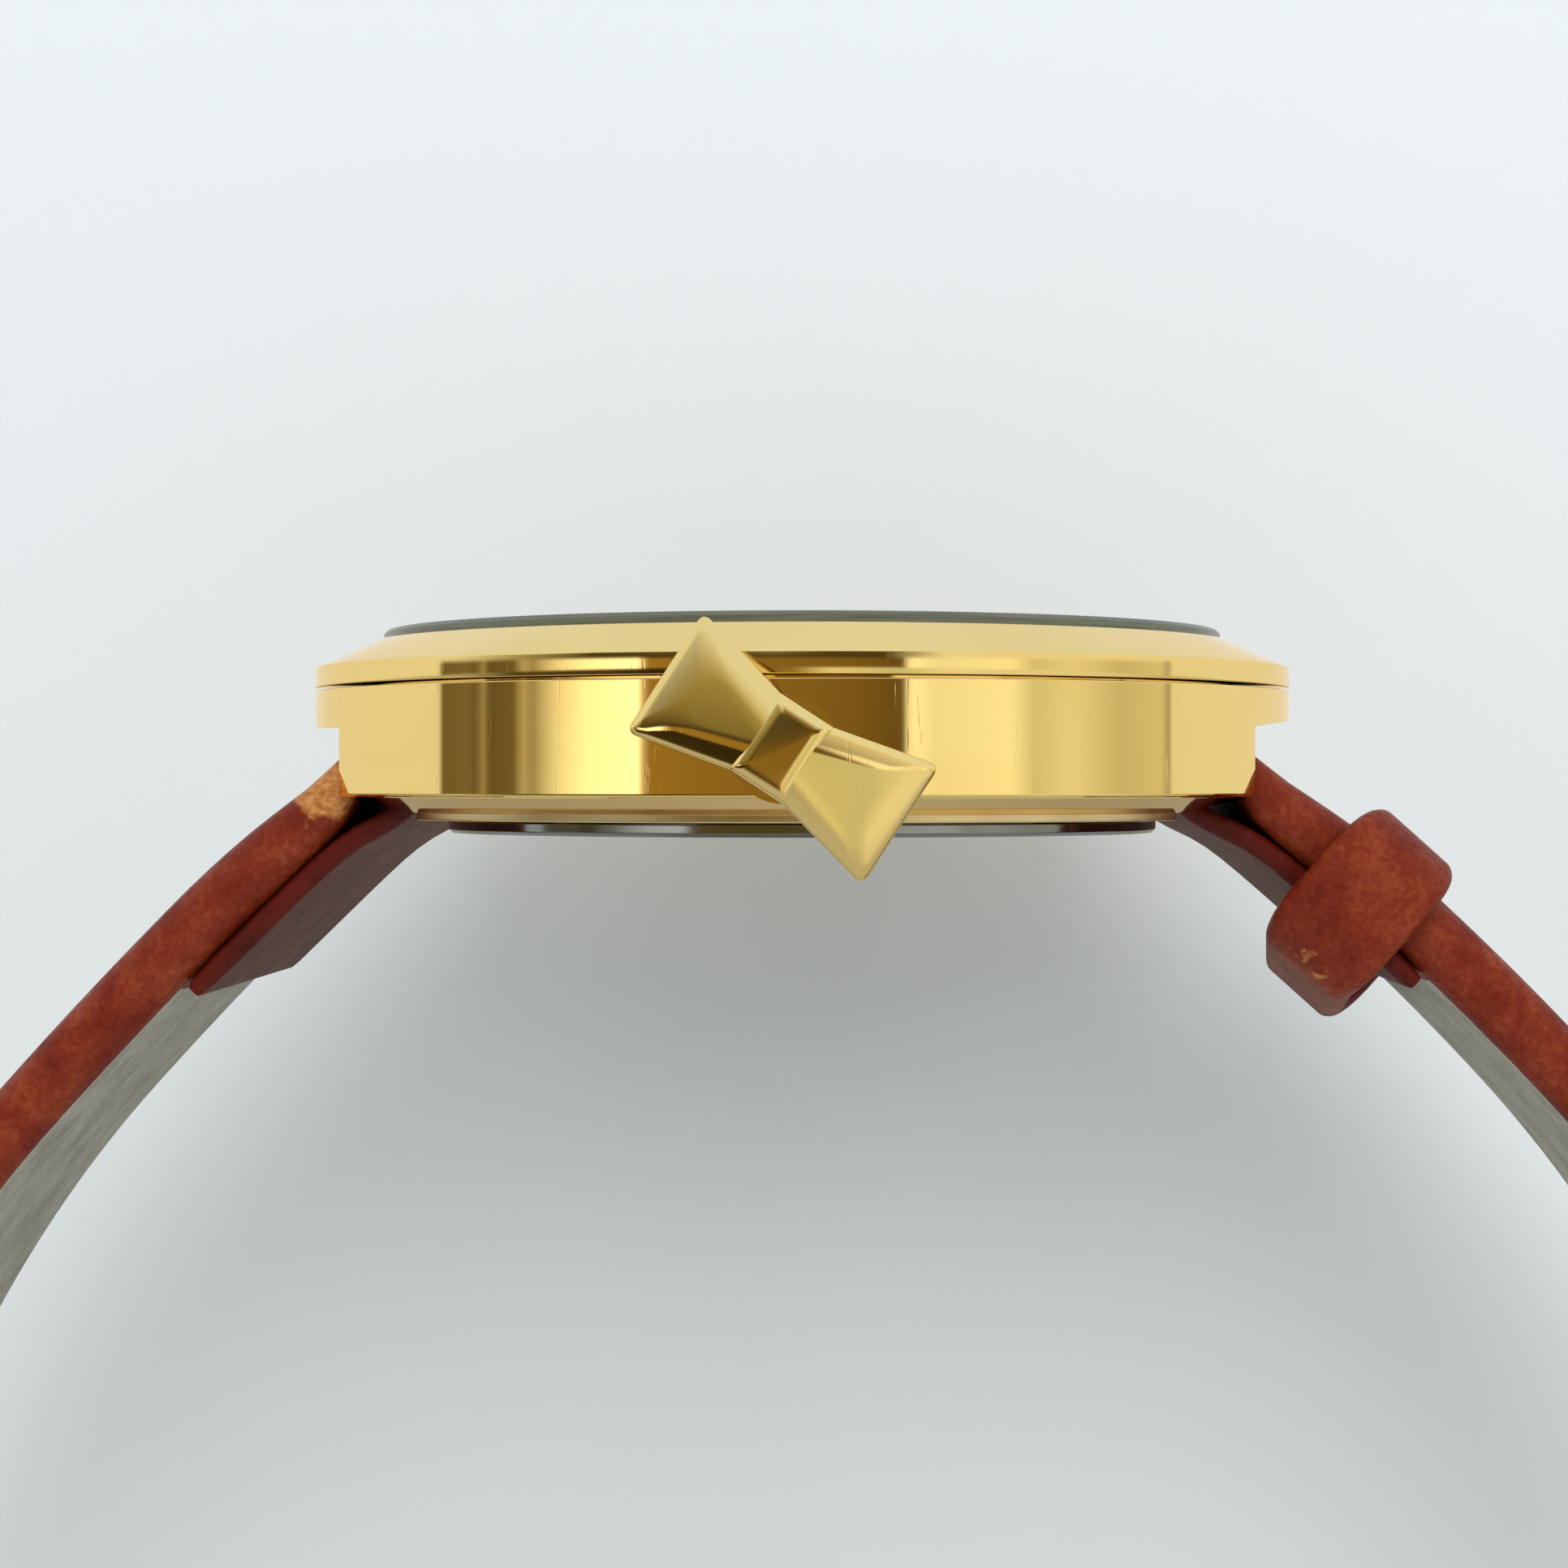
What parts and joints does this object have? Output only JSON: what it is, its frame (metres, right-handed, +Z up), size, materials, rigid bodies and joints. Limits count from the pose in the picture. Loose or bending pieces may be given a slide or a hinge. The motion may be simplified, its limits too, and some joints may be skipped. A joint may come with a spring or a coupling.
{
  "type": "wristwatch",
  "caption": "Round gold-tone quartz wristwatch with a bow-shaped crown, flat crystal and an unbuckled leather strap with keepers and a pin buckle.",
  "frame": {"origin": "centre of the caseback's outer flat face", "axes": "+X to 12 o'clock, -Y to the crown at 3 o'clock, +Z up through the dial"},
  "size_m": [0.0783, 0.0374, 0.0636],
  "materials": {
    "gold": "polished gold plating",
    "steel": "plain turned steel",
    "movement_brass": "matt brass",
    "copper": "wound enamelled wire",
    "board": "lacquered board",
    "movement_plastic": "moulded",
    "crystal_glass": "polished mineral glass",
    "dial_paint": "satin lacquer",
    "gasket_rubber": "matt",
    "strap_leather": "smooth grain with dyed edges",
    "strap_lining": "matt suede"
  },
  "bodies": {
    "case": {"case_middle": "gold", "bezel": "gold", "crystal": "crystal_glass", "crystal_gasket": "gasket_rubber", "flange_ring": "gold", "dial": "dial_paint", "movement_ring": "movement_plastic", "main_plate": "movement_brass", "train_bridge": "movement_brass", "battery": "steel", "battery_clamp": "steel", "circuit_board": "board", "coil": "copper", "stator": "steel", "caseback": "steel", "caseback_gasket": "gasket_rubber", "crown_tube": "steel", "short_bar_tube": "steel", "long_bar_tube": "steel"},
    "minute_group": {"minute_hand": "gold", "cannon_pinion": "steel"},
    "hour_group": {"hour_hand": "gold", "hour_wheel": "movement_brass"},
    "minute_wheel": {"minute_wheel": "movement_brass"},
    "second_group": {"second_hand": "gold", "second_wheel": "movement_brass"},
    "third_wheel": {"third_wheel": "movement_brass"},
    "center_wheel": {"center_wheel": "movement_brass"},
    "fifth_wheel": {"fifth_wheel": "movement_brass"},
    "rotor": {"rotor": "movement_brass"},
    "clutch": {"clutch_pinion": "steel"},
    "crown": {"crown_bow": "gold", "stem": "steel", "crown_gasket": "gasket_rubber"},
    "setting_lever": {"setting_lever": "steel"},
    "long_strap": {"long_strap": "strap_leather", "long_strap_lining": "strap_lining"},
    "short_strap": {"short_strap": "strap_leather", "short_strap_lining": "strap_lining", "fixed_keeper": "strap_leather", "buckle_bar": "steel"},
    "loose_keeper": {"loose_keeper": "strap_leather"},
    "buckle_frame": {"buckle_frame": "gold"},
    "buckle_tongue": {"buckle_tongue": "gold"},
    "short_pin_crown_side": {"short_bar_pin_crown_side": "steel"},
    "short_pin_far_side": {"short_bar_pin_far_side": "steel"},
    "long_pin_crown_side": {"long_bar_pin_crown_side": "steel"},
    "long_pin_far_side": {"long_bar_pin_far_side": "steel"}
  },
  "joints": [
    {"name": "minute_turn", "type": "hinge", "parent": "case", "child": "minute_group", "pos_m": [0, 0, 0.005], "axis": [0, 0, 1], "continuous": true},
    {"name": "hour_turn", "type": "hinge", "parent": "case", "child": "hour_group", "pos_m": [0, 0, 0.0047], "axis": [0, 0, 1], "continuous": true},
    {"name": "minute_wheel_turn", "type": "hinge", "parent": "case", "child": "minute_wheel", "pos_m": [0.0017, -0.0017, 0.0037], "axis": [0, 0, 1], "continuous": true},
    {"name": "second_turn", "type": "hinge", "parent": "case", "child": "second_group", "pos_m": [0, 0, 0.0052], "axis": [0, 0, 1], "continuous": true},
    {"name": "third_wheel_turn", "type": "hinge", "parent": "case", "child": "third_wheel", "pos_m": [-0.00288, -0.00105, 0.0022], "axis": [0, 0, 1], "continuous": true},
    {"name": "center_wheel_turn", "type": "hinge", "parent": "case", "child": "center_wheel", "pos_m": [0, 0, 0.0025], "axis": [0, 0, 1], "continuous": true},
    {"name": "fifth_wheel_turn", "type": "hinge", "parent": "case", "child": "fifth_wheel", "pos_m": [-0.00057, 0.00325, 0.002], "axis": [0, 0, 1], "continuous": true},
    {"name": "rotor_turn", "type": "hinge", "parent": "case", "child": "rotor", "pos_m": [-0.0017, 0.00486, 0.002], "axis": [0, 0, 1], "continuous": true},
    {"name": "crown_turn", "type": "hinge", "parent": "case", "child": "clutch", "pos_m": [0, -0.005, 0.0027], "axis": [0, -1, 0], "continuous": true},
    {"name": "crown_pull", "type": "slide", "parent": "clutch", "child": "crown", "axis": [0, -1, 0], "range_m": [0, 0.0008]},
    {"name": "setting_lever_turn", "type": "hinge", "parent": "case", "child": "setting_lever", "pos_m": [0.0024, -0.0068, 0.0027], "axis": [0, 0, 1], "range_deg": [0, 25]},
    {"name": "long_strap_swing", "type": "hinge", "parent": "case", "child": "long_strap", "pos_m": [-0.0135, 0, 0.00185], "axis": [0, 1, 0], "range_deg": [-3, 42]},
    {"name": "short_strap_swing", "type": "hinge", "parent": "case", "child": "short_strap", "pos_m": [0.0135, 0, 0.00185], "axis": [0, -1, 0], "range_deg": [-3, 42]},
    {"name": "loose_keeper_slide", "type": "slide", "parent": "short_strap", "child": "loose_keeper", "axis": [0.7187, 0, -0.6953], "range_m": [0, 0.008]},
    {"name": "buckle_turn", "type": "hinge", "parent": "short_strap", "child": "buckle_frame", "pos_m": [0.0365, 0, -0.05504], "axis": [0, 1, 0], "range_deg": [-80, 30]},
    {"name": "tongue_turn", "type": "hinge", "parent": "buckle_frame", "child": "buckle_tongue", "pos_m": [0.0365, 0, -0.05504], "axis": [0, -1, 0], "range_deg": [0, 100]},
    {"name": "short_pin_crown_side_press", "type": "slide", "parent": "case", "child": "short_pin_crown_side", "axis": [0, 1, 0], "range_m": [0, 0.0008], "stiffness_N_per_m": 800, "springref_m": -0.0005},
    {"name": "short_pin_far_side_press", "type": "slide", "parent": "case", "child": "short_pin_far_side", "axis": [0, -1, 0], "range_m": [0, 0.0008], "stiffness_N_per_m": 800, "springref_m": -0.0005},
    {"name": "long_pin_crown_side_press", "type": "slide", "parent": "case", "child": "long_pin_crown_side", "axis": [0, 1, 0], "range_m": [0, 0.0008], "stiffness_N_per_m": 800, "springref_m": -0.0005},
    {"name": "long_pin_far_side_press", "type": "slide", "parent": "case", "child": "long_pin_far_side", "axis": [0, -1, 0], "range_m": [0, 0.0008], "stiffness_N_per_m": 800, "springref_m": -0.0005}
  ],
  "couplings": [
    {"joint": "hour_turn", "follows": "minute_turn", "ratio": 0.083333},
    {"joint": "minute_wheel_turn", "follows": "minute_turn", "ratio": -0.33333},
    {"joint": "third_wheel_turn", "follows": "second_turn", "ratio": -0.13333},
    {"joint": "center_wheel_turn", "follows": "second_turn", "ratio": 0.016667},
    {"joint": "fifth_wheel_turn", "follows": "second_turn", "ratio": -5},
    {"joint": "rotor_turn", "follows": "second_turn", "ratio": 30},
    {"joint": "setting_lever_turn", "follows": "crown_pull", "rad_per_m": 531.9}
  ]
}
